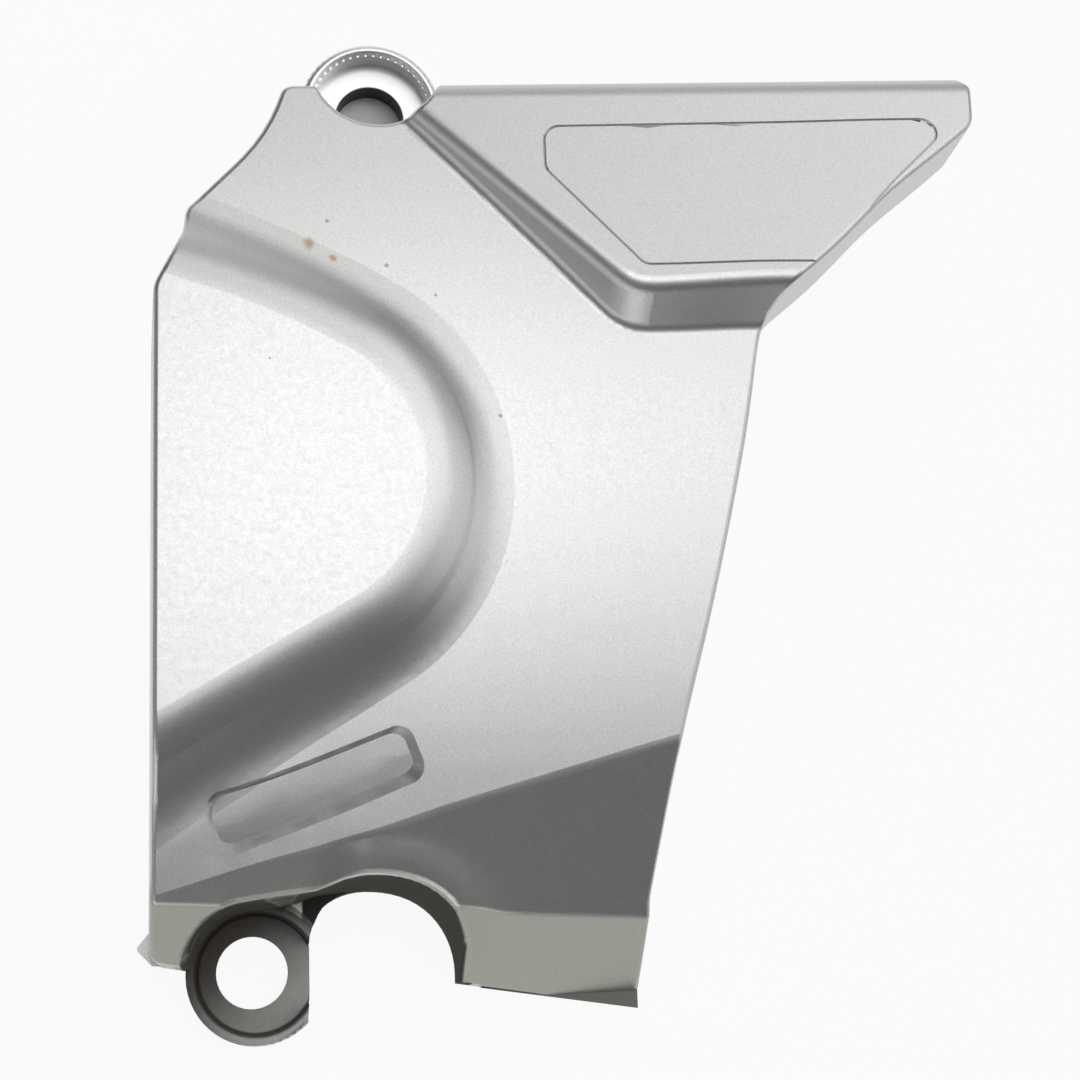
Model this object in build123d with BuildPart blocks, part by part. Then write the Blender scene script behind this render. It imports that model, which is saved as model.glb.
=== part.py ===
"""Motorcycle sprocket cover: one die-cast aluminium shell, sizes in millimetres.

The joint face that meets the crankcase is z = 0 and the outer side faces +Z.
The origin is the axis of the lower bolt hole, +X points to the rear of the
motorcycle and +Y points up, so the straight front edge runs along Y.
"""

from build123d import *
from math import asin, atan2, cos, degrees, radians, sin, tan
import os

# Walls and drafts
wall = 2.6  # thickness of the outer face, measured along Z
skirt_wall = 2.6  # thickness of the walls around the edge
well_wall = 2.2  # thickness of the walls around the bolt wells and the notch
side_draft = 3.0  # degrees, outer walls lean outwards towards the joint face

# Main face: a crowned plate, highest at crown_y
plate_height = 29.0
crown_radius = 570.0
crown_y = 75.0
outline_height = 27.0  # level at which the plan outline is given

# Facet that falls away below the plate, through two points of its upper crease
facet_crease_rear = (61.85, 31.3)
facet_crease_front = (-13.3, 10.3)
facet_slope = 22.0
facet_blend = 4.0

# Steep lower skirt, through the front end and the rear end of its upper crease
skirt_crease_front = (-13.8, 9.6, 25.0)
skirt_crease_rear = (57.0, 6.2, 17.8)
skirt_slope = 56.6
skirt_blend = 1.6

# Raised D-shaped bulge, open to the front edge
bulge_height = 34.0
bulge_waist_height = 31.3  # level at which the outline of its flank is given
bulge_slope = 40.0
bulge_nose_centre = (4.3, 69.1)
bulge_nose_radius = 27.6
bulge_nose_half_angle = 60.0
bulge_upper_radius = 120.0
bulge_lower_angle = 30.0
bulge_top_blend = 10.5
bulge_foot_blend = 9.0

# Raised wing at the upper rear
wing_level_point = (27.0, 125.0, 29.5)  # a point of its outer face
wing_rise_rear = 0.04  # rise of that face per millimetre to the rear
wing_fall_top = 0.14  # fall of that face per millimetre upwards
wing_flank_height = 31.5
wing_diagonal_point = (42.2, 108.0)
wing_diagonal_angle = 42.6  # degrees, of the outward direction below -X
wing_diagonal_slope = 58.0
wing_lower_y = 93.9
wing_lower_slope = 50.0
wing_corner_radius = 10.0
wing_top_blend = 3.0
wing_foot_blend = 2.0
wing_edge_round = 4.0
wing_flank_x = 50.0  # splits the rim of the cover into its front and its rear run

# Plan outline at outline_height
front_x = -13.8
front_low_y = 2.7
front_high_y = 96.6
shoulder_low = (-9.3, 105.0)
shoulder_high = (-8.5, 108.8)
shoulder_middle = (-0.15, 118.0)
top_front = (5.2, 129.6)
tip_top_front = (107.6, 132.0)
tip_top_rear = (109.9, 129.6)
tip_low = (109.7, 123.4)
wing_root = (76.9, 93.2)
rear_low = (57.0, 9.3)
foot_rear = (56.6, -5.2)
foot_front = (27.0, -0.5)
well_side = (-8.5, 1.7)
shoulder_round = 3.0
top_front_round = 2.0

# Bolt bosses: a bore in a counterbored seat, both alike
lower_bolt = (0.0, 0.0)
upper_bolt = (19.2, 133.4)
bore_radius = 5.3
seat_radius = 9.3
boss_radius = 11.1
boss_height = 8.0
seat_height = 4.0
well_radius = 9.7
rim_round = 0.8

# Notch for the gear-shift shaft, beside the lower bolt
notch_middle_x = 16.8
notch_top_y = 12.4
notch_rear_radius = 13.5
notch_front_radius = 8.8
pocket_floor = 3.0

# Edge rounds
edge_round = 0.8
notch_edge_round = 1.4
well_edge_round = 0.8

# Chain side, open to the rear, and the wall shortened under the wing
chain_low_y = 12.0
chain_high_y = 86.0
relief_start_x = 44.0
relief_end_x = 62.0
relief_height = 17.0

# Plain recess between the bulge and the notch
recess_centre = (9.0, 24.9)
recess_length = 31.0
recess_width = 8.4
recess_angle = 21.0
recess_corner = 2.5
recess_depth = 0.8

# Nib at the lower front corner and lip along the foot of the skirt
nib_top = (-14.6, 6.8)
nib_tip = (-17.0, 3.9)
nib_low = (-14.6, 1.4)
nib_height = 2.5
lip_front = (34.0, -3.2)
lip_rear = (57.8, -6.9)
lip_height = 1.8

# Block from which the outer skin is cut
block_low_y = -25.0
block_high_y = 136.0
block_front_x = -20.0
block_rear_x = 116.0
block_top = 42.0


def plate_z(y):
    """Height of the crowned plate above the joint face."""
    return plate_height - (crown_radius - (crown_radius**2 - (y - crown_y) ** 2) ** 0.5)


def slope_plane(point, outward_angle, slope):
    """Plane through a point that falls by slope towards outward_angle in plan."""
    lean = sin(radians(slope))
    direction = (
        cos(radians(outward_angle)) * lean,
        sin(radians(outward_angle)) * lean,
        cos(radians(slope)),
    )
    return Plane(origin=point, z_dir=direction)


def crease_plane(first, second, slope):
    """Plane through two points that falls by slope towards -Y."""
    along = (Vector(*second) - Vector(*first)).normalized()
    level = Vector(along.X, along.Y, 0).normalized()
    down_hill = Vector(level.Y, -level.X, 0)
    if down_hill.Y > 0:
        down_hill = -down_hill
    steep = down_hill * cos(radians(slope)) - Vector(0, 0, sin(radians(slope)))
    normal = along.cross(steep)
    if normal.Z < 0:
        normal = -normal
    return Plane(origin=first, z_dir=normal)


def cover_outline(grow):
    """Plan outline of the cover, grown outwards by grow."""
    with BuildSketch() as plan:
        with BuildLine():
            ThreePointArc(shoulder_high, shoulder_middle, top_front)
            Polyline(top_front, tip_top_front, tip_top_rear)
            FilletPolyline(
                tip_top_rear,
                tip_low,
                wing_root,
                rear_low,
                foot_rear,
                foot_front,
                lower_bolt,
                well_side,
                (front_x, front_low_y),
                (front_x, front_high_y),
                shoulder_low,
                shoulder_high,
                radius=[4.0, 14.0, 12.0, 1.5, 0.5, 0.5, 0.5, 1.0, 5.0, 3.0],
            )
        make_face()
        fillet(plan.vertices().sort_by_distance(shoulder_high)[0], shoulder_round)
        fillet(plan.vertices().sort_by_distance(top_front)[0], top_front_round)
        if grow:
            offset(amount=grow)
    return plan.sketch


def notch_outline(grow):
    """Outline of the shaft notch on the joint face, open downwards."""
    front = notch_middle_x - notch_front_radius
    rear = notch_middle_x + notch_rear_radius
    with BuildSketch() as plan:
        with BuildLine():
            Line((front, -40), (front, notch_front_centre[1]))
            RadiusArc((front, notch_front_centre[1]), (notch_middle_x, notch_top_y), notch_front_radius)
            RadiusArc((notch_middle_x, notch_top_y), (rear, notch_rear_centre[1]), notch_rear_radius)
            Line((rear, notch_rear_centre[1]), (rear, -40))
            Line((rear, -40), (front, -40))
        make_face()
        if grow:
            offset(amount=grow)
    return plan.sketch


def lower_well_outline(grow):
    """Outline of the lower bolt well, run together with the notch."""
    between = Vector(*notch_front_centre) - Vector(*lower_bolt)
    lean = degrees(asin((well_radius - notch_front_radius) / between.length))
    angle = degrees(atan2(between.Y, between.X)) + 90 - lean
    toward = Vector(cos(radians(angle)), sin(radians(angle)))
    near = Vector(*lower_bolt) + toward * (well_radius + grow)
    far_end = Vector(*notch_front_centre) + toward * (notch_front_radius + grow)
    with BuildSketch() as plan:
        with Locations(lower_bolt):
            Circle(well_radius + grow)
        with BuildLine():
            Polyline(near, far_end, notch_front_centre, lower_bolt, close=True)
        make_face()
        with Locations(notch_front_centre):
            Circle(notch_front_radius + grow)
        add(notch_outline(grow))
    return plan.sketch


notch_rear_centre = (notch_middle_x, notch_top_y - notch_rear_radius)
notch_front_centre = (notch_middle_x, notch_top_y - notch_front_radius)
outline_growth = outline_height * tan(radians(side_draft))

with BuildPart() as bulge:
    foot_drop = 10.0
    with BuildSketch(Plane.XY.offset(bulge_waist_height - foot_drop)):
        with BuildLine():
            nose = CenterArc(
                bulge_nose_centre,
                bulge_nose_radius,
                -bulge_nose_half_angle,
                2 * bulge_nose_half_angle,
            )
            upper = JernArc(nose @ 1, nose % 1, bulge_upper_radius, 26)
            reach = Vector(-cos(radians(bulge_lower_angle)), -sin(radians(bulge_lower_angle)))
            lower = Line(nose @ 0, (nose @ 0) + reach * 65)
            Polyline(upper @ 1, (-70, (upper @ 1).Y), (-70, (lower @ 1).Y), lower @ 1)
        make_face()
        offset(amount=foot_drop / tan(radians(bulge_slope)), kind=Kind.INTERSECTION)
    extrude(amount=bulge_height - bulge_waist_height + foot_drop, taper=90 - bulge_slope)
    top_face = bulge.faces().sort_by(Axis.Z)[-1]
    fillet(top_face.edges().filter_by(lambda e: e.center().X > -40), bulge_top_blend)

with BuildPart() as wing:
    with BuildSketch(Plane.XY.offset(15)):
        with Locations((85, 110)):
            Rectangle(200, 2 * (block_high_y - 110))
    extrude(amount=40)
    diagonal = slope_plane(
        (*wing_diagonal_point, wing_flank_height), 180 + wing_diagonal_angle, wing_diagonal_slope
    )
    split(bisect_by=diagonal, keep=Keep.BOTTOM)
    lower_flank = slope_plane((66, wing_lower_y, wing_flank_height), 270, wing_lower_slope)
    split(bisect_by=lower_flank, keep=Keep.BOTTOM)
    outer_face = Plane(origin=wing_level_point, z_dir=(-wing_rise_rear, wing_fall_top, 1))
    split(bisect_by=outer_face, keep=Keep.BOTTOM)
    corner = wing.edges().filter_by(
        lambda e: 45 < e.center().X < 70
        and 84 < e.center().Y < 95
        and e.length < 30
        and abs((e % 0.5).Z) > 0.1
    )
    fillet(corner, wing_corner_radius)
    top_face = wing.faces().sort_by(Axis.Z)[-1]
    flank_edges = top_face.edges().filter_by(
        lambda e: e.center().Y < block_high_y - 0.5 and e.center().X < 180
    )
    fillet(flank_edges, wing_top_blend)

with BuildPart() as skin:
    with BuildSketch(Plane.YZ.offset(-30)):
        with BuildLine():
            Polyline(
                (block_low_y, plate_z(block_low_y)),
                (block_low_y, -10),
                (block_high_y, -10),
                (block_high_y, plate_z(block_high_y)),
            )
            ThreePointArc(
                (block_high_y, plate_z(block_high_y)),
                (crown_y, plate_height),
                (block_low_y, plate_z(block_low_y)),
            )
        make_face()
    extrude(amount=160)
    crease_rear = (*facet_crease_rear, plate_z(facet_crease_rear[1]))
    crease_front = (*facet_crease_front, plate_z(facet_crease_front[1]))
    split(bisect_by=crease_plane(crease_rear, crease_front, facet_slope), keep=Keep.BOTTOM)
    split(bisect_by=crease_plane(skirt_crease_front, skirt_crease_rear, skirt_slope), keep=Keep.BOTTOM)
    add(bulge.part)
    split(bisect_by=Plane(origin=(block_front_x, 0, 0), z_dir=(1, 0, 0)), keep=Keep.TOP)
    bulge_foot = skin.edges().filter_by(
        lambda e: e.length > 20
        and block_front_x + 1 < e.center().X < 50
        and 20 < e.center().Y < 125
        and abs(e.center().Z - plate_z(e.center().Y)) < 0.9
        and e.geom_type in (GeomType.BSPLINE, GeomType.ELLIPSE)
    )
    fillet(bulge_foot, bulge_foot_blend)
    facet_crease = skin.edges().filter_by(
        lambda e: e.geom_type == GeomType.ELLIPSE and e.center().Y < 35 and e.center().X > 20
    )
    fillet(facet_crease, facet_blend)
    add(wing.part)
    split(bisect_by=Plane(origin=(block_rear_x, 0, 0), z_dir=(-1, 0, 0)), keep=Keep.TOP)
    wing_foot = skin.edges().filter_by(
        lambda e: 20 < e.center().X < block_rear_x - 1
        and 85 < e.center().Y < 130
        and abs(e.center().Z - plate_z(e.center().Y)) < 0.5
    )
    fillet(wing_foot, wing_foot_blend)
    skirt_crease = skin.edges().filter_by(
        lambda e: e.geom_type == GeomType.LINE
        and 3 < e.center().Y < 10
        and e.center().Z > 10
        and e.length > 100
    )
    fillet(skirt_crease, skirt_blend)

with BuildPart() as lower_well:
    with BuildSketch():
        add(lower_well_outline(0))
    extrude(amount=block_top)
    with BuildSketch():
        add(lower_well_outline(5))
    extrude(amount=pocket_floor, mode=Mode.SUBTRACT)
    with BuildSketch():
        add(notch_outline(0))
    extrude(amount=block_top)

with BuildPart() as upper_well:
    with BuildSketch(Plane.XY.offset(boss_height)):
        with Locations(upper_bolt):
            Circle(well_radius)
    extrude(amount=block_top)


def well_edges(body, well):
    """Edges where a well breaks through the outer face of the body."""
    return body.edges().filter_by(
        lambda e: e.center().Z > pocket_floor + 1
        and abs(e.center().Z - boss_height) > 0.5
        and abs((e % 0.5).Z) < 0.95
        and well.distance_to(e.center()) < 0.01
    )


def rim_edges(body):
    """Sharp edges between the outer face and the walls around it."""
    walls = body.faces().filter_by(lambda f: abs(f.normal_at(f.center()).Z) < 0.1)
    return body.edges().filter_by(
        lambda e: e.center().Z > boss_height
        and abs((e % 0.5).Z) < 0.9
        and len([f for f in walls if f.distance_to(e.center()) < 0.005]) == 1
        and lower_well.part.distance_to(e.center()) > 0.01
        and upper_well.part.distance_to(e.center()) > 0.01
        and not (e.center().Y > 125 and e.center().X > wing_flank_x and e.length > 60)
        and not (e.center().Y > 130.5 and e.center().X > 100)
    )


with BuildPart() as outer:
    with BuildSketch():
        add(cover_outline(outline_growth))
    extrude(amount=block_top, taper=side_draft)
    add(skin.part, mode=Mode.INTERSECT)
    add(lower_well.part, mode=Mode.SUBTRACT)
    add(upper_well.part, mode=Mode.SUBTRACT)
    wing_edge = outer.edges().filter_by(
        lambda e: e.length > 60 and e.center().Y > 130 and e.center().Z > 25
    )
    fillet(wing_edge, wing_edge_round)
    rear_rim = rim_edges(outer).filter_by(lambda e: e.center().X > wing_flank_x)
    fillet(rear_rim, edge_round)
    fillet(well_edges(outer, lower_well.part), notch_edge_round)
    front_rim = rim_edges(outer).filter_by(lambda e: e.center().X < wing_flank_x)
    fillet(front_rim, edge_round)
    fillet(well_edges(outer, upper_well.part), well_edge_round)

with BuildPart() as cavity:
    with BuildSketch():
        add(cover_outline(outline_growth - skirt_wall))
    extrude(amount=block_top, taper=side_draft)
    with BuildSketch():
        with Locations((90, (chain_low_y + chain_high_y) / 2)):
            Rectangle(90, chain_high_y - chain_low_y)
    extrude(amount=block_top)
    add(skin.part.moved(Location((0, 0, -wall))), mode=Mode.INTERSECT)
    with BuildSketch():
        add(lower_well_outline(well_wall))
        with Locations(upper_bolt):
            Circle(well_radius + well_wall)
    extrude(amount=block_top, mode=Mode.SUBTRACT)

with BuildPart() as recess:
    with BuildSketch(Plane.XY.offset(15)):
        with Locations(Location(recess_centre, recess_angle)):
            RectangleRounded(recess_length, recess_width, recess_corner)
    extrude(amount=20)
    add(skin.part.moved(Location((0, 0, -recess_depth))), mode=Mode.SUBTRACT)

with BuildPart() as cover:
    add(outer.part)
    add(recess.part, mode=Mode.SUBTRACT)
    add(cavity.part, mode=Mode.SUBTRACT)
    with BuildSketch(Plane.XZ.offset(-chain_high_y)):
        with BuildLine():
            Polyline(
                (relief_start_x, 0),
                (relief_end_x, relief_height),
                (130, relief_height),
                (130, -5),
                (relief_start_x, -5),
                close=True,
            )
        make_face()
    extrude(amount=-60, mode=Mode.SUBTRACT)
    with BuildSketch():
        with Locations(lower_bolt, upper_bolt):
            Circle(boss_radius)
    extrude(amount=boss_height)
    with BuildSketch():
        with BuildLine():
            Polyline(
                nib_top, nib_tip, nib_low, (front_x + 2, nib_low[1]), (front_x + 2, nib_top[1]), close=True
            )
        make_face()
        fillet(vertices().sort_by(Axis.X)[0], 0.7)
    extrude(amount=nib_height)
    with BuildSketch():
        with BuildLine():
            Polyline(lip_front, lip_rear, (lip_rear[0], 2), (lip_front[0], 2), close=True)
        make_face()
    extrude(amount=lip_height)
    with BuildSketch():
        add(notch_outline(0))
    extrude(amount=block_top, mode=Mode.SUBTRACT)
    with Locations((*lower_bolt, boss_height), (*upper_bolt, boss_height)):
        CounterBoreHole(bore_radius, seat_radius, boss_height - seat_height)

os.makedirs("parts", exist_ok=True)
cover.part.label = "sprocket_cover"
export_step(cover.part, "parts/sprocket_cover.step")
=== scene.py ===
# %% [markdown]
# # A die-cast sprocket cover, painted silver
# The part is one aluminium casting that hides a motorcycle's drive sprocket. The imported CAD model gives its
# exact shape. This script adds what a plain model lacks: the fine engraved line on the wing, the silver paint,
# the bare metal at the bolts, and the rust spots and specks of a used part. Lengths are in metres, unless a
# comment says millimetres.

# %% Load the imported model
import bmesh
import bpy
import math
import numpy as np
from mathutils import Matrix, Vector
from mathutils.bvhtree import BVHTree
from mathutils.interpolate import poly_3d_calc


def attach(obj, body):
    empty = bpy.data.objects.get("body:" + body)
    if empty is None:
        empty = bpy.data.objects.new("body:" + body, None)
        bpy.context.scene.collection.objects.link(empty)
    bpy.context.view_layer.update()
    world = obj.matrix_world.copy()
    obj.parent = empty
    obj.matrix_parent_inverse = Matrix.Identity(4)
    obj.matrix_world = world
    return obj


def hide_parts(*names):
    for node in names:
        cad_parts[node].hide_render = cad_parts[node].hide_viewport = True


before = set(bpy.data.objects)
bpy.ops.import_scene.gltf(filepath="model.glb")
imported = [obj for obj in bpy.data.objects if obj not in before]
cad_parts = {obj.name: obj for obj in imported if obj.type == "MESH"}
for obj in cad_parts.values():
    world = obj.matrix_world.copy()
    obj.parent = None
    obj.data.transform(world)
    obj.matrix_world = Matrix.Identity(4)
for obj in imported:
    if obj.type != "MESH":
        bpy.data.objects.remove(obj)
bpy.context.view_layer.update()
scene = bpy.context.scene
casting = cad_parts["sprocket_cover"]
MM = 0.001

# %% [markdown]
# ## Camera
# The photograph was taken from straight above a table, close to the part and with a slight lean towards the
# wing. The direction was worked out from the two bolt holes, which lie lower than the outer face. A camera is
# placed by its right, up and backward directions, which are the columns of its matrix.

# %% Camera over the part
SENSOR_WIDTH = 36.0
FOCAL_PIXELS = 2200
PHOTO_PIXELS = 1080
CAMERA_HEIGHT = 0.337
camera_data = bpy.data.cameras.new("camera")
camera_data.sensor_width = SENSOR_WIDTH
camera_data.lens = SENSOR_WIDTH * FOCAL_PIXELS / PHOTO_PIXELS
camera_data.clip_start = 0.01
camera = bpy.data.objects.new("camera", camera_data)
scene.collection.objects.link(camera)
camera_right = Vector((0.99142, -0.02942, 0.12740))
camera_up = Vector((0.00452, 0.98147, 0.19154))
camera_back = camera_right.cross(camera_up)
camera_turn = Matrix((camera_right, camera_up, camera_back)).transposed().to_4x4()
camera.matrix_world = Matrix.Translation((0, 0, CAMERA_HEIGHT)) @ camera_turn
scene.camera = camera
print("camera looks along", [round(-v, 3) for v in camera_back])

# %% [markdown]
# ## The engraved line
# A fine V-shaped line frames the flat panel of the wing. It is cut with a tool that follows a path, so Geometry
# Nodes make the tool: a polygon is rounded at its corners, laid on the wing's face and swept with a small
# four-sided section. Its lower half then cuts the groove, and its upper half stays in the air.

# %% Path of the line on the wing's face
WING_POINT = Vector((27.0, 125.0, 29.5)) * MM
WING_RISE_REAR = 0.04
WING_FALL_TOP = 0.14
# Corners in millimetres, in plan
LINE_CORNERS = ((43.6, 122.5), (106.6, 124.2), (84.9, 100.3), (57.6, 100.1), (43.6, 115.6))
LINE_CORNER_RADIUS = 2.4 * MM
LINE_HALF_WIDTH = 0.21 * MM


def wing_height(x, y):
    """Height of the wing's flat face over a plan point."""
    return WING_POINT.z + WING_RISE_REAR * (x - WING_POINT.x) - WING_FALL_TOP * (y - WING_POINT.y)


line_curve = bpy.data.curves.new("line_path", "CURVE")
line_curve.dimensions = "3D"
spline = line_curve.splines.new("POLY")
spline.points.add(len(LINE_CORNERS) - 1)
for point, (x, y) in zip(spline.points, LINE_CORNERS):
    point.co = (x * MM, y * MM, wing_height(x * MM, y * MM), 1)
spline.use_cyclic_u = True
line_path = bpy.data.objects.new("line_path", line_curve)
scene.collection.objects.link(line_path)
print("line corners:", len(spline.points))

# %% Node group that sweeps a section along the path
line_tree = bpy.data.node_groups.new("line_tool", "GeometryNodeTree")
group = line_tree.interface
group.new_socket("Path", in_out="INPUT", socket_type="NodeSocketGeometry")
radius_socket = group.new_socket("Corner radius", in_out="INPUT", socket_type="NodeSocketFloat")
width_socket = group.new_socket("Half width", in_out="INPUT", socket_type="NodeSocketFloat")
group.new_socket("Tool", in_out="OUTPUT", socket_type="NodeSocketGeometry")
inputs = line_tree.nodes.new("NodeGroupInput")
outputs = line_tree.nodes.new("NodeGroupOutput")
rounded = line_tree.nodes.new("GeometryNodeFilletCurve")
rounded.mode = "POLY"
rounded.inputs["Count"].default_value = 8
section = line_tree.nodes.new("GeometryNodeCurvePrimitiveCircle")
section.inputs["Resolution"].default_value = 4
sweep = line_tree.nodes.new("GeometryNodeCurveToMesh")
realize = line_tree.nodes.new("GeometryNodeRealizeInstances")
finish = line_tree.nodes.new("GeometryNodeSetMaterial")
for start, end in (
    (inputs.outputs["Path"], rounded.inputs["Curve"]),
    (inputs.outputs["Corner radius"], rounded.inputs["Radius"]),
    (inputs.outputs["Half width"], section.inputs["Radius"]),
    (rounded.outputs["Curve"], sweep.inputs["Curve"]),
    (section.outputs["Curve"], sweep.inputs["Profile Curve"]),
    (sweep.outputs["Mesh"], realize.inputs["Geometry"]),
    (realize.outputs["Geometry"], finish.inputs["Geometry"]),
    (finish.outputs["Geometry"], outputs.inputs["Tool"]),
):
    line_tree.links.new(start, end)
print("nodes in the line tool:", len(line_tree.nodes))

# %% Tool that follows the path


def evaluated_copy(thing):
    """Mesh of an object with its modifiers worked out."""
    bpy.context.view_layer.update()
    return bpy.data.meshes.new_from_object(thing.evaluated_get(bpy.context.evaluated_depsgraph_get()))


modifier = line_path.modifiers.new("line_tool", "NODES")
modifier.node_group = line_tree
modifier[radius_socket.identifier] = LINE_CORNER_RADIUS
modifier[width_socket.identifier] = LINE_HALF_WIDTH
tool_mesh = evaluated_copy(line_path)
line_tool = bpy.data.objects.new("line_cutter", tool_mesh)
scene.collection.objects.link(line_tool)
bpy.data.objects.remove(line_path)
print("tool faces:", len(tool_mesh.polygons))

# %% [markdown]
# ## A finer copy of the casting
# The CAD node stays as it is for the collision model, and a copy of it is shown instead. The copy gets the
# engraved line and a set of small corrections that follow the photograph. For both it needs one closed surface,
# so its points are merged first, and then short edges, so that it can bend smoothly.

# %% Merge and engrave the copy
MERGE_DISTANCE = 0.0005 * MM
merged = bmesh.new()
merged.from_mesh(casting.data)
bmesh.ops.remove_doubles(merged, verts=merged.verts, dist=MERGE_DISTANCE)
blank = bpy.data.meshes.new("cover_blank")
merged.to_mesh(blank)
merged.free()
blank_object = bpy.data.objects.new("cover_blank", blank)
scene.collection.objects.link(blank_object)
cut = blank_object.modifiers.new("engrave", "BOOLEAN")
cut.operation = "DIFFERENCE"
cut.solver = "EXACT"
cut.object = line_tool
engraved = evaluated_copy(blank_object)
bpy.data.objects.remove(blank_object)
bpy.data.objects.remove(line_tool)
print("engraved faces:", len(engraved.polygons), "from", len(casting.data.polygons))

# %% Divide long edges, and divide finely at the rings of the bosses
LONG_EDGE = 4.0 * MM
BOSS_EDGE = 0.9 * MM
DIVIDING_ROUNDS = 6
# Places and radii of the bosses in millimetres
LOWER_BOSS = (0.0, 0.0)
UPPER_BOSS = (19.2, 133.4)
BOSS_RADIUS = 11.1
SEAT_RADIUS = 9.3
BOSS_TOP = 8.0
FINE_RING = (8.5, 11.5)
FINE_BELOW = 9.0


def longest_allowed(place):
    """Longest edge that may stay at a place."""
    if place.z < FINE_BELOW * MM:
        for x, y in (LOWER_BOSS, UPPER_BOSS):
            if FINE_RING[0] < math.hypot(place.x / MM - x, place.y / MM - y) < FINE_RING[1]:
                return BOSS_EDGE
    return LONG_EDGE


divided = bmesh.new()
divided.from_mesh(engraved)
bmesh.ops.triangulate(divided, faces=divided.faces)
for turn in range(DIVIDING_ROUNDS):
    long_edges = []
    for edge in divided.edges:
        middle = (edge.verts[0].co + edge.verts[1].co) / 2
        if edge.calc_length() > longest_allowed(middle):
            long_edges.append(edge)
    if not long_edges:
        break
    bmesh.ops.subdivide_edges(divided, edges=long_edges, cuts=1)
    bmesh.ops.triangulate(divided, faces=[face for face in divided.faces if len(face.verts) > 3])
cover_mesh = bpy.data.meshes.new("cover_skin")
divided.to_mesh(cover_mesh)
divided.free()
print("triangles after dividing:", len(cover_mesh.polygons))

# %% [markdown]
# ## Normals from the CAD model
# The CAD model's own normals hold the true roundness that loose triangles lose. Each corner of the copy looks up
# the nearest point of the CAD mesh and blends the three normals there by nearness. It looks from a little inside
# its own face, so a corner on a sharp edge reads the right side of it. The walls of the engraved line have no
# counterpart, and they keep their flat normals.

# %% Read the CAD model's normals at every corner of the copy
INSET = 0.03
SAME_PLACE = 0.02 * MM
SAME_SURFACE = 0.90


def read_triples(collection, name):
    """One attribute of a mesh's elements as rows of three numbers."""
    values = np.empty(len(collection) * 3)
    collection.foreach_get(name, values)
    return values.reshape(-1, 3)


source = casting.data
source_points = read_triples(source.vertices, "co")
source_normals = read_triples(source.corner_normals, "vector")
source_faces = [tuple(face.vertices) for face in source.polygons]
finder = BVHTree.FromPolygons(source_points.tolist(), source_faces)
points = read_triples(cover_mesh.vertices, "co")
corner_normals = np.empty((len(cover_mesh.loops), 3))
for face in cover_mesh.polygons:
    for loop in face.loop_indices:
        corner = Vector(points[cover_mesh.loops[loop].vertex_index])
        seen_from = corner.lerp(face.center, INSET)
        found, flat_normal, index, gap = finder.find_nearest(seen_from)
        triangle = source.polygons[index]
        corners = [Vector(source_points[v]) for v in triangle.vertices]
        weights = poly_3d_calc(corners, found)
        smooth = Vector((0, 0, 0))
        for weight, source_loop in zip(weights, triangle.loop_indices):
            smooth += weight * Vector(source_normals[source_loop])
        same = gap < SAME_PLACE and flat_normal.dot(face.normal) > SAME_SURFACE
        corner_normals[loop] = smooth.normalized() if same else face.normal
print("corners read:", len(corner_normals))

# %% [markdown]
# ## Corrections that follow the photograph
# One smooth function says where each point goes, so the surface stays smooth: a flatter bulge and wing, a
# slightly higher foot of the bulge's lower flank, rounded rims on the bosses, a shaft notch and a recess whose
# walls lean, and an outline moved by about a millimetre in places. All its numbers are millimetres in the
# part's own frame, where x runs to the rear and y to the top.

# %% Sizes of the corrections, in millimetres
# The crowned plate, as in the CAD model
PLATE_TOP = 29.0
CROWN_RADIUS = 570.0
CROWN_Y = 75.0
WALL = 2.6
# Share of the height above the plate that stays, and the slanting line between bulge and wing
BULGE_FLATTER = 0.84
WING_FLATTER = 0.85
BULGE_TO_WING = (88.5, 92.0)
# Foot of the bulge's lower flank: a point of it, its outward direction, and the lift
LOWER_FLANK_START = (18.1, 45.2)
LOWER_FLANK_OUT = (0.5, -0.866)
LOWER_FLANK_PULL = 1.3
# Rings of the bosses
RIM_DROP = 0.7
BOSS_SHIFT = (0.7, -0.2)
BOSS_TRIM = 0.8
# Shaft notch
NOTCH_CENTRE = (16.8, -1.1)
NOTCH_RADIUS = 13.5
NOTCH_LEAN = 1.5
NOTCH_LEAN_HEIGHT = 20
# Recess: the walls towards the rear and the bottom lean more than the others
RECESS_CENTRE = (9.0, 24.9)
RECESS_ANGLE = math.radians(21.0)
RECESS_HALF = (15.5, 4.2)
RECESS_DEPTH = 0.8
RECESS_LEAN_WIDE = (1.3, 1.7)
RECESS_LEAN_NARROW = 0.7
RECESS_ABOVE = 24
# Outline: name, centre, reach, shift towards the rear and the top
OUTLINE_SHIFTS = (
    ("shoulder", (-6.0, 113.5), 9.0, (-0.8, 1.0)),
    ("wing_root", (77.0, 92.0), 12.0, (-0.8, 0.7)),
    ("wing_edge", (96.0, 110.5), 11.0, (-0.6, 0.7)),
    ("rear_edge", (62.0, 30.0), 16.0, (-0.8, 0.0)),
    ("notch_top", (16.8, 12.4), 9.0, (0.0, -0.9)),
)
print("outline corrections:", [name for name, *rest in OUTLINE_SHIFTS])

# %% The corrections, one function for each


def plate_height(y):
    """Height of the crowned plate."""
    return PLATE_TOP - (CROWN_RADIUS - np.sqrt(CROWN_RADIUS**2 - (y - CROWN_Y) ** 2))


def smooth_step(value, low, high):
    """0 below low, 1 above high, smooth between."""
    share = np.clip((value - low) / (high - low), 0, 1)
    return share * share * (3 - 2 * share)


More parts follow.
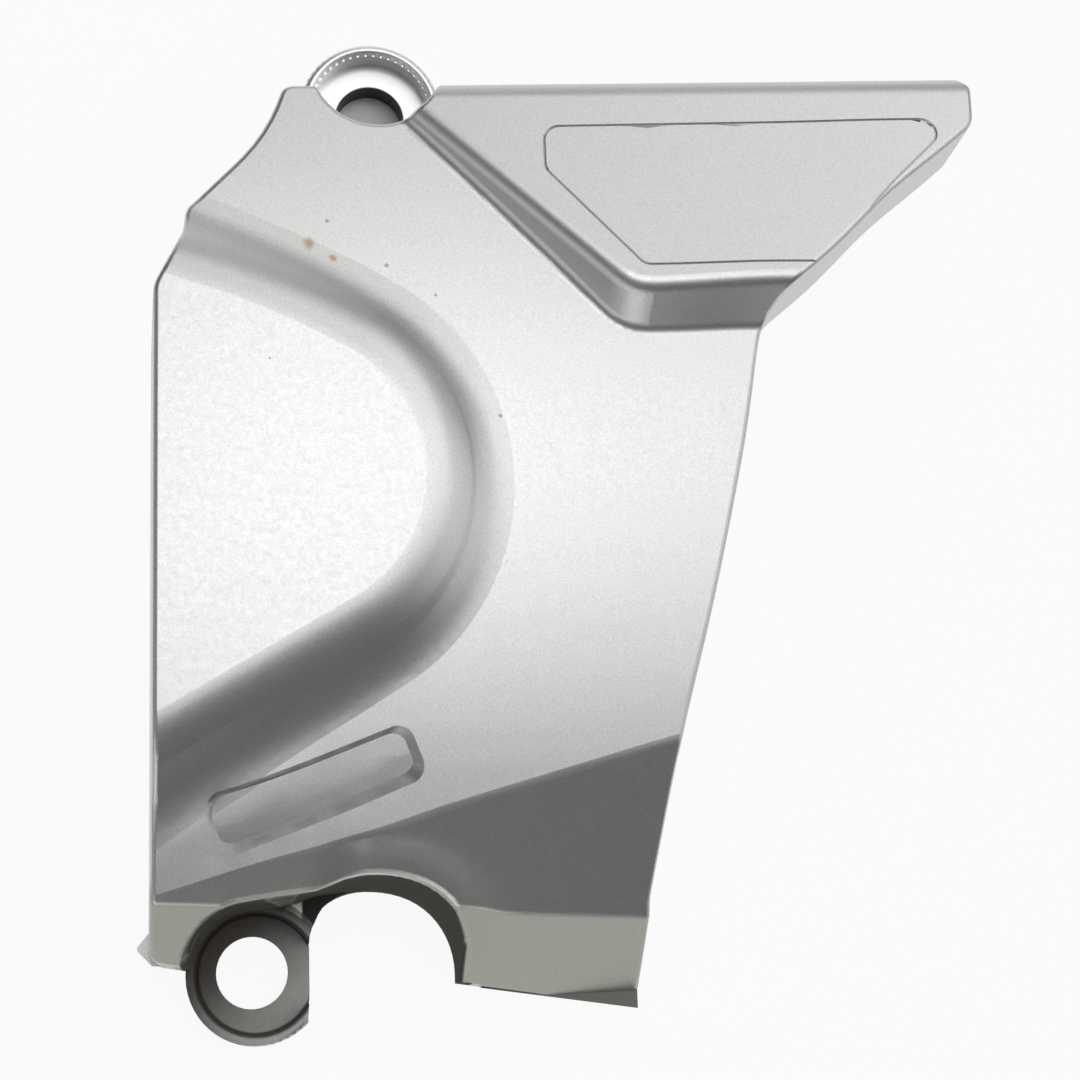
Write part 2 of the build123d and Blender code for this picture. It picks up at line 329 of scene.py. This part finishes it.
def flattened(x, y, z, inner):
    """Height after the bulge and the wing are made flatter."""
    above = np.maximum(z - plate_height(y) + WALL * inner, 0)
    bulge_side = 1 - smooth_step((x + y) / 2**0.5, *BULGE_TO_WING)
    z = z - (1 - BULGE_FLATTER) * above * bulge_side
    return z - (1 - WING_FLATTER) * above * (1 - bulge_side)


def flank_lift(x, y):
    """How far the foot of the bulge's lower flank goes up."""
    from_x, from_y = x - LOWER_FLANK_START[0], y - LOWER_FLANK_START[1]
    out = from_x * LOWER_FLANK_OUT[0] + from_y * LOWER_FLANK_OUT[1]
    along = from_x * LOWER_FLANK_OUT[1] - from_y * LOWER_FLANK_OUT[0]
    near_foot = smooth_step(out, -5, 5) * (1 - smooth_step(out, 4.5, 9.5))
    return LOWER_FLANK_PULL * smooth_step(along, 2, 32) * near_foot


def rim_drop(x, y, z):
    """How far the rounded rims of the two rings drop below their flat tops."""
    drop = np.zeros(len(z))
    for boss_x, boss_y in (LOWER_BOSS, UPPER_BOSS):
        from_middle = np.hypot(x - boss_x, y - boss_y) - (BOSS_RADIUS + SEAT_RADIUS) / 2
        ring = from_middle / (BOSS_RADIUS - SEAT_RADIUS) * 2
        height = z - drop
        on_ring = (1 - smooth_step(np.abs(ring), 1.05, 1.4)) * smooth_step(height, 5.5, 7)
        on_ring = on_ring * (1 - smooth_step(height, 8.2, 9))
        drop = drop + RIM_DROP * np.clip(np.abs(ring), 0, 1) ** 2.5 * on_ring
    return drop


def notch_leaned(x, y, z):
    """Plan place after the wall of the shaft notch leans outwards."""
    from_x, from_y = x - NOTCH_CENTRE[0], np.maximum(y - NOTCH_CENTRE[1], 0)
    from_notch = np.maximum(np.hypot(from_x, from_y), 0.1)
    lean = NOTCH_LEAN * np.clip(z / NOTCH_LEAN_HEIGHT, 0, 1)
    lean = lean * smooth_step(x, 8, 15) * (1 - smooth_step(y, 16, 22))
    lean = lean * smooth_step(from_notch, 8, 12)
    lean = lean * (1 - smooth_step(from_notch, NOTCH_RADIUS + 1, NOTCH_RADIUS + 9))
    return x + lean * from_x / from_notch, y + lean * from_y / from_notch


def boss_trimmed(x, y, z):
    """Plan place after the lower boss's ring is trimmed and shifted."""
    radius = np.maximum(np.hypot(x, y), 0.1)
    at_boss = (1 - smooth_step(radius, 11.6, 14.5)) * (1 - smooth_step(z, 9, 14))
    trim = BOSS_TRIM * smooth_step(radius, 7, 11) * at_boss / radius
    shift = smooth_step(radius, 6, 9) * at_boss
    return x * (1 - trim) + BOSS_SHIFT[0] * shift, y * (1 - trim) + BOSS_SHIFT[1] * shift


def recess_leaned(x, y, z, u, v, inner):
    """Plan place after the walls of the recess lean; u and v run along and across the recess."""
    across = (1 - smooth_step(np.abs(u), 16.5, 18.0)) * (1 - smooth_step(np.abs(v), 4.8, 6.0))
    depth = np.clip((plate_height(y) - z) / RECESS_DEPTH, 0, 1) * across * (1 - inner) * (z > RECESS_ABOVE)
    u_shift = -u / RECESS_HALF[0] * np.where(u > 0, RECESS_LEAN_WIDE[0], RECESS_LEAN_NARROW) * depth
    v_shift = -v / RECESS_HALF[1] * np.where(v < 0, RECESS_LEAN_WIDE[1], RECESS_LEAN_NARROW) * depth
    turn_x, turn_y = math.cos(RECESS_ANGLE), math.sin(RECESS_ANGLE)
    return x + u_shift * turn_x - v_shift * turn_y, y + u_shift * turn_y + v_shift * turn_x


def corrected(place, inner):
    """Where a point goes; inner is 1 for the hidden side, which lies one wall lower."""
    x, y, z = place.T
    z = flattened(x, y, z, inner)
    recess_x, recess_y = x - RECESS_CENTRE[0], y - RECESS_CENTRE[1]
    u = recess_x * math.cos(RECESS_ANGLE) + recess_y * math.sin(RECESS_ANGLE)
    v = recess_y * math.cos(RECESS_ANGLE) - recess_x * math.sin(RECESS_ANGLE)
    y = y + flank_lift(x, y)
    z = z - rim_drop(x, y, z)
    x, y = notch_leaned(x, y, z)
    x, y = boss_trimmed(x, y, z)
    x, y = recess_leaned(x, y, z, u, v, inner)
    for name, (centre_x, centre_y), reach, (shift_x, shift_y) in OUTLINE_SHIFTS:
        pull = np.exp(-(((x - centre_x) ** 2 + (y - centre_y) ** 2) / reach**2))
        x, y = x + shift_x * pull, y + shift_y * pull
    return np.stack((x, y, z), axis=1)


print("plate height in the recess:", round(float(plate_height(RECESS_CENTRE[1])), 2))

# %% [markdown]
# ## Moving the points and turning the normals
# A surface that is bent turns its normals as well. The slopes of the correction are measured by small steps
# along each axis, and the normals are turned by the inverse of their transpose, which keeps them square to the
# surface.

# %% Move the points and turn the normals with them
HIDDEN_BELOW = -0.2
STEP = 0.01
loop_vertex = np.empty(len(cover_mesh.loops), int)
cover_mesh.loops.foreach_get("vertex_index", loop_vertex)
normal_z = np.zeros(len(points))
np.add.at(normal_z, loop_vertex, corner_normals[:, 2])
inner = (normal_z < HIDDEN_BELOW).astype(float)
corner_points = points[loop_vertex] / MM
corner_inner = inner[loop_vertex]
slopes = []
for axis in range(3):
    ahead = corner_points.copy()
    behind = corner_points.copy()
    ahead[:, axis] += STEP
    behind[:, axis] -= STEP
    slopes.append((corrected(ahead, corner_inner) - corrected(behind, corner_inner)) / (2 * STEP))
jacobian = np.stack(slopes, axis=2)
turned = np.linalg.solve(np.transpose(jacobian, (0, 2, 1)), corner_normals[:, :, None])[:, :, 0]
turned /= np.linalg.norm(turned, axis=1)[:, None]
moved = corrected(points / MM, inner) * MM
print("largest move in millimetres:", round(float(np.abs(moved - points).max() / MM), 2))

# %% Show the corrected copy instead of the CAD node
cover_mesh.vertices.foreach_set("co", moved.ravel())
cover_mesh.update()
cover_mesh.polygons.foreach_set("use_smooth", [True] * len(cover_mesh.polygons))
cover_mesh.normals_split_custom_set(turned.tolist())
cover_skin = bpy.data.objects.new("cover_skin", cover_mesh)
scene.collection.objects.link(cover_skin)
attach(cover_skin, "root")
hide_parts("sprocket_cover")
print("visible triangles:", len(cover_mesh.polygons))

# %% [markdown]
# ## Small helpers for material nodes
# A procedural material is a sum of small steps, so a few helpers keep each step on one line. They add a node,
# plug in a value, do arithmetic, turn a value into a soft mask between two limits, mix two colours or two
# numbers, and make noise of a given size.

# %% Node helpers


def node(tree, kind, **values):
    """Adds a node and sets its input values by name."""
    made = tree.nodes.new(kind)
    for name, value in values.items():
        made.inputs[name].default_value = value
    return made


def plug(tree, value, socket):
    """Links a node's output to a socket, or writes a plain value there."""
    if isinstance(value, bpy.types.NodeSocket):
        tree.links.new(value, socket)
    else:
        socket.default_value = value


def math_step(tree, operation, *values):
    """One arithmetic step on sockets or numbers."""
    step = tree.nodes.new("ShaderNodeMath")
    step.operation = operation
    for socket, value in zip(step.inputs, values):
        plug(tree, value, socket)
    return step.outputs[0]


def soft_mask(tree, value, at_zero, at_one):
    """0 where the value is at at_zero, 1 where it is at at_one, with a smooth passage between."""
    ramp = tree.nodes.new("ShaderNodeMapRange")
    ramp.interpolation_type = "SMOOTHSTEP"
    plug(tree, value, ramp.inputs["Value"])
    ramp.inputs["From Min"].default_value = at_zero
    ramp.inputs["From Max"].default_value = at_one
    return ramp.outputs["Result"]


def mix_colour(tree, factor, first, second):
    """Mixes two colours by a factor."""
    mixed = tree.nodes.new("ShaderNodeMix")
    mixed.data_type = "RGBA"
    plug(tree, factor, mixed.inputs["Factor"])
    plug(tree, first, mixed.inputs[6])
    plug(tree, second, mixed.inputs[7])
    return mixed.outputs[2]


def mix_value(tree, factor, first, second):
    """Mixes two numbers by a factor."""
    mixed = tree.nodes.new("ShaderNodeMix")
    plug(tree, factor, mixed.inputs[0])
    plug(tree, first, mixed.inputs[2])
    plug(tree, second, mixed.inputs[3])
    return mixed.outputs[0]


def noise(tree, place, size, detail=2.0, roughness=0.5):
    """Noise whose bumps are about size metres across."""
    made = node(tree, "ShaderNodeTexNoise", Scale=1 / size, Detail=detail, Roughness=roughness)
    tree.links.new(place, made.inputs["Vector"])
    return made.outputs["Fac"]


print("node helpers ready")

# %% [markdown]
# ## The finishes
# The cover is sprayed with silver paint: fine aluminium flakes in a clear binder, so each flake tilts a little
# and catches the light by itself. The paint doesn't reach the machined bolt seats. Shade is painted into the
# colour in places: the steep skirt, the ledge below it and the lower seat are painted darker, the corner round
# that seat and the upper bore near black, and the wells and the shaft notch near-black brown, a stain with
# painted shade. One material carries all of this, because the casting is one mesh: masks on the object's own
# coordinates choose the finish, so nothing slides when the view changes.

# %% Where the finishes change, in millimetres
WELL_RADIUS = 9.7
WELL_PAINT = (WELL_RADIUS + 0.8, WELL_RADIUS + 0.4)
NOTCH_PAINT = (15.9, 15.5)
RING_PAINT = (BOSS_RADIUS + 0.3, BOSS_RADIUS + 0.1)
SEAT_CORNER_CENTRE = (0.7, -0.2)
SEAT_CORNER_RADIUS = 8.75
# x, y, size
RUST_SPOTS = ((8.7, 104.4, 1.3), (12.2, 102.1, 0.8))
DARK_SPECKS = (
    (20.0, 101.1, 0.45),
    (27.1, 96.6, 0.30),
    (11.4, 107.9, 0.40),
    (36.1, 78.3, 0.40),
    (2.9, 85.6, 0.25),
)
print("rust spots:", len(RUST_SPOTS), "dark specks:", len(DARK_SPECKS))

# %% Coordinates, noises and directions that the paint uses
FLAKE_SIZE = 0.26 * MM
GRAIN_SIZE = 0.9 * MM
CLOUD_SIZE = 12 * MM
paint = bpy.data.materials.new("silver_paint")
paint.use_nodes = True
tree = paint.node_tree
shader = tree.nodes["Principled BSDF"]
place = tree.nodes.new("ShaderNodeTexCoord").outputs["Object"]
split = tree.nodes.new("ShaderNodeSeparateXYZ")
tree.links.new(place, split.inputs[0])
along_x, along_y, height = split.outputs


def distance_from(x, y):
    """Distance in metres from an upright axis through a plan point in millimetres."""
    flat = tree.nodes.new("ShaderNodeCombineXYZ")
    tree.links.new(along_x, flat.inputs[0])
    tree.links.new(along_y, flat.inputs[1])
    gap = node(tree, "ShaderNodeVectorMath")
    gap.operation = "DISTANCE"
    tree.links.new(flat.outputs[0], gap.inputs[0])
    gap.inputs[1].default_value = (x * MM, y * MM, 0)
    return gap.outputs["Value"]


def upward_share(direction):
    """How far a direction points up: 1 straight up, 0 sideways, -1 straight down."""
    parts = tree.nodes.new("ShaderNodeSeparateXYZ")
    tree.links.new(direction, parts.inputs[0])
    return parts.outputs[2]


def both(first, second):
    """Product of two masks: only where both are."""
    return math_step(tree, "MULTIPLY", first, second)


def either(first, second):
    """Larger of two masks: where one of them is."""
    return math_step(tree, "MAXIMUM", first, second)


flakes = noise(tree, place, FLAKE_SIZE, detail=2.0, roughness=0.6)
cloud = noise(tree, place, CLOUD_SIZE, detail=3.0, roughness=0.5)
grain = noise(tree, place, GRAIN_SIZE, detail=2.0)
geometry = tree.nodes.new("ShaderNodeNewGeometry")
facing_up = upward_share(geometry.outputs["Normal"])
flat_facing_up = upward_share(geometry.outputs["True Normal"])
print("nodes so far:", len(tree.nodes))

# %% Silver flakes, with a faint cloud of a duller tone
silver_dull = (0.60, 0.60, 0.592, 1)
silver_bright = (0.71, 0.71, 0.70, 1)
silver_cloud = (0.58, 0.58, 0.555, 1)
colour = mix_colour(tree, soft_mask(tree, flakes, 0.30, 0.70), silver_dull, silver_bright)
colour = mix_colour(tree, both(cloud, 0.10), colour, silver_cloud)
print("nodes so far:", len(tree.nodes))

# %% The steep skirt is painted a darker grey, as painted shade, and the narrow ledge below it near black, also painted shade
# Painted shade: the skirt's colour is darkened, and the ledge's colour is near black.
skirt = both(soft_mask(tree, facing_up, 0.80, 0.62), soft_mask(tree, along_y, 14 * MM, 11 * MM))
skirt_painted_shade = mix_colour(tree, flakes, (0.30, 0.30, 0.265, 1), (0.48, 0.48, 0.435, 1))
colour = mix_colour(tree, skirt, colour, skirt_painted_shade)
ledge = both(soft_mask(tree, facing_up, 0.80, 0.90), soft_mask(tree, height, 12 * MM, 11 * MM))
ledge = both(ledge, soft_mask(tree, along_x, 30 * MM, 31 * MM))
colour = mix_colour(tree, ledge, colour, (0.16, 0.157, 0.14, 1))
print("nodes so far:", len(tree.nodes))

# %% The lower well and the shaft notch: near-black brown, a brown stain with painted shade
near_lower = soft_mask(tree, distance_from(*LOWER_BOSS), WELL_PAINT[0] * MM, WELL_PAINT[1] * MM)
in_notch = both(
    soft_mask(tree, along_x, 7.3 * MM, 7.7 * MM),
    soft_mask(tree, along_x, 31.2 * MM, 30.8 * MM),
)
in_notch = both(in_notch, soft_mask(tree, along_y, 13.4 * MM, 13.0 * MM))
upright = soft_mask(tree, math_step(tree, "ABSOLUTE", facing_up), 0.45, 0.15)
inside = either(upright, soft_mask(tree, height, 14 * MM, 12 * MM))
well_stain_and_shade_mask = both(either(near_lower, in_notch), inside)
flat_upright = soft_mask(tree, math_step(tree, "ABSOLUTE", flat_facing_up), 0.35, 0.20)
near_notch = soft_mask(tree, distance_from(*NOTCH_CENTRE), NOTCH_PAINT[0] * MM, NOTCH_PAINT[1] * MM)
well_stain_and_shade_mask = either(well_stain_and_shade_mask, both(near_notch, flat_upright))
well_stain_and_shade_mask = both(well_stain_and_shade_mask, soft_mask(tree, height, 28 * MM, 26 * MM))
# Painted shade with a brown stain: the walls of the wells and the notch are coloured near-black brown.
brown_stain_and_painted_shade = mix_colour(tree, grain, (0.050, 0.045, 0.038, 1), (0.095, 0.085, 0.072, 1))
colour = mix_colour(tree, both(well_stain_and_shade_mask, 0.95), colour, brown_stain_and_painted_shade)
metal_share = math_step(tree, "SUBTRACT", 0.75, both(either(well_stain_and_shade_mask, ledge), 0.65))
print("nodes so far:", len(tree.nodes))

# %% Bare machined metal on the bosses: bright at the upper one, painted darker at the lower one as painted shade, darkest towards its front and top
low = soft_mask(tree, height, (BOSS_TOP + 0.4) * MM, (BOSS_TOP + 0.1) * MM)
bare_lower = both(soft_mask(tree, distance_from(*LOWER_BOSS), RING_PAINT[0] * MM, RING_PAINT[1] * MM), low)
bare_upper = both(soft_mask(tree, distance_from(*UPPER_BOSS), RING_PAINT[0] * MM, RING_PAINT[1] * MM), low)
across_seat = math_step(tree, "SUBTRACT", along_x, along_y)
# Painted shade: the lower seat's colour runs from near black at its front and top to grey.
seat_painted_shade = mix_colour(tree, grain, (0.085, 0.075, 0.066, 1), (0.13, 0.117, 0.105, 1))
clean_metal = mix_colour(tree, grain, (0.46, 0.46, 0.44, 1), (0.62, 0.62, 0.60, 1))
lower_metal_with_painted_shade = mix_colour(tree, soft_mask(tree, across_seat, -9 * MM, 12 * MM), seat_painted_shade, clean_metal)
colour = mix_colour(tree, bare_lower, colour, lower_metal_with_painted_shade)
bright_metal = mix_colour(tree, grain, (0.86, 0.85, 0.84, 1), (0.93, 0.92, 0.91, 1))
colour = mix_colour(tree, bare_upper, colour, bright_metal)
print("nodes so far:", len(tree.nodes))

# %% Painted shade: a dark ring in the corner between seat and rim, and a black inside of the upper bore
# Painted shade: a near-black ring where the lower seat meets its wall.
from_corner = math_step(tree, "SUBTRACT", distance_from(*SEAT_CORNER_CENTRE), SEAT_CORNER_RADIUS * MM)
corner_painted_shade = both(soft_mask(tree, math_step(tree, "ABSOLUTE", from_corner), 0.55 * MM, 0.15 * MM), low)
colour = mix_colour(tree, both(corner_painted_shade, 0.85), colour, (0.03, 0.028, 0.025, 1))
# Painted shade: the inside of the upper bore is coloured black.
bore_painted_shade = soft_mask(tree, distance_from(*UPPER_BOSS), 5.6 * MM, 5.4 * MM)
colour = mix_colour(tree, bore_painted_shade, colour, (0.02, 0.02, 0.02, 1))
print("nodes so far:", len(tree.nodes))

# %% Rust spots with ragged edges, and dark specks
rust_brown = (0.42, 0.27, 0.10, 1)
speck_dark = (0.12, 0.12, 0.10, 1)
ragged_by = 0.9 * MM
for x, y, size in RUST_SPOTS:
    ragged = math_step(tree, "ADD", distance_from(x, y), both(grain, ragged_by))
    spot = soft_mask(tree, ragged, (0.45 + size) * MM, (0.45 + size * 0.2) * MM)
    colour = mix_colour(tree, both(spot, 0.75), colour, rust_brown)
for x, y, size in DARK_SPECKS:
    speck = soft_mask(tree, distance_from(x, y), size * MM, size * 0.4 * MM)
    colour = mix_colour(tree, both(speck, 0.6), colour, speck_dark)
print("nodes so far:", len(tree.nodes))

# %% Plug the paint together
tree.links.new(colour, shader.inputs["Base Color"])
tree.links.new(metal_share, shader.inputs["Metallic"])
gloss = mix_value(tree, grain, 0.30, 0.38)
tree.links.new(mix_value(tree, well_stain_and_shade_mask, gloss, 1.0), shader.inputs["Roughness"])
bump = node(tree, "ShaderNodeBump", Strength=0.10, Distance=0.05 * MM)
tree.links.new(flakes, bump.inputs["Height"])
tree.links.new(bump.outputs["Normal"], shader.inputs["Normal"])
for piece in (casting, cover_skin):
    piece.data.materials.clear()
    piece.data.materials.append(paint)
print("paint nodes:", len(tree.nodes))

# %% [markdown]
# ## Floor and light
# The photograph has a white background. The floor is white to the camera and to glossy rays, and matt white to
# the rest, so it still takes the cover's shadow. Below the upper boss it doesn't glow, so the bore looks dark, as
# in the photograph. The light is a studio of large soft patches round the table: each one is a round glow in the
# world, given by its tilt from straight up and its width.

# %% White floor
GLOW_SHARE = 0.93
UNLIT_RADIUS = (7.0, 9.0)
bpy.ops.mesh.primitive_plane_add(size=4)
floor = bpy.context.object
floor.name = "floor"
floor.location.z = -0.2 * MM
white = bpy.data.materials.new("white_table")
white.use_nodes = True
tree = white.node_tree
matt = tree.nodes["Principled BSDF"]
matt.inputs["Base Color"].default_value = (0.85, 0.85, 0.85, 1)
matt.inputs["Roughness"].default_value = 1.0
glow = node(tree, "ShaderNodeEmission", Color=(1, 1, 1, 1), Strength=1.0)
path = tree.nodes.new("ShaderNodeLightPath")
seen = either(path.outputs["Is Camera Ray"], path.outputs["Is Glossy Ray"])
seen = either(seen, path.outputs["Is Transmission Ray"])
place = tree.nodes.new("ShaderNodeTexCoord").outputs["Object"]
under_boss = node(tree, "ShaderNodeVectorMath")
under_boss.operation = "DISTANCE"
tree.links.new(place, under_boss.inputs[0])
under_boss.inputs[1].default_value = (UPPER_BOSS[0] * MM, UPPER_BOSS[1] * MM, 0)
away = soft_mask(tree, under_boss.outputs["Value"], UNLIT_RADIUS[0] * MM, UNLIT_RADIUS[1] * MM)
seen = both(seen, away)
share = tree.nodes.new("ShaderNodeMixShader")
tree.links.new(both(seen, GLOW_SHARE), share.inputs[0])
tree.links.new(matt.outputs[0], share.inputs[1])
tree.links.new(glow.outputs[0], share.inputs[2])
tree.links.new(share.outputs[0], tree.nodes["Material Output"].inputs["Surface"])
floor.data.materials.append(white)
print("floor nodes:", len(tree.nodes))

# %% Soft light patches
# name, tilt towards the rear, tilt towards the top, half width, strength: angles in degrees
LIGHT_PATCHES = (
    ("overhead", 0, 10, 16, 2.96),
    ("overhead_top", 0, 20, 16, 0.82),
    ("top_high", 0, 42, 16, 1.12),
    ("rear_high", 26, 8, 20, 1.45),
    ("rear_top", 26, 28, 20, 1.05),
    ("rear_top_low", 26, 48, 20, 0.82),
    ("rear_side", 60, 0, 32, 1.00),
    ("front_low", -26, -68, 26, 1.20),
    ("front_side", -60, 0, 32, 0.33),
    ("front_corner", -52, -50, 30, 0.79),
    ("rear_corner", 52, 50, 30, 0.45),
    ("low_top", 0, 83, 30, 0.71),
)
world = bpy.data.worlds.new("studio")
scene.world = world
world.use_nodes = True
tree = world.node_tree
background = tree.nodes["Background"]
background.inputs["Color"].default_value = (1, 1, 1, 1)
looking = tree.nodes.new("ShaderNodeTexCoord").outputs["Generated"]


def light_patch(direction, half_width, strength):
    """World strength of one round soft patch of light."""
    nearness = tree.nodes.new("ShaderNodeVectorMath")
    nearness.operation = "DOT_PRODUCT"
    tree.links.new(looking, nearness.inputs[0])
    nearness.inputs[1].default_value = direction.normalized()
    fall = tree.nodes.new("ShaderNodeMapRange")
    fall.interpolation_type = "SMOOTHERSTEP"
    tree.links.new(nearness.outputs["Value"], fall.inputs["Value"])
    fall.inputs["From Min"].default_value = math.cos(math.radians(half_width))
    fall.inputs["From Max"].default_value = 1.0
    fall.inputs["To Max"].default_value = strength
    return fall.outputs["Result"]


total = 0.0
for name, x_tilt, y_tilt, half_width, strength in LIGHT_PATCHES:
    direction = Vector((math.tan(math.radians(x_tilt)), math.tan(math.radians(y_tilt)), 1))
    total = math_step(tree, "ADD", total, light_patch(direction, half_width, strength))
tree.links.new(total, background.inputs["Strength"])
scene.view_settings.view_transform = "Standard"
print("light patches:", len(LIGHT_PATCHES))
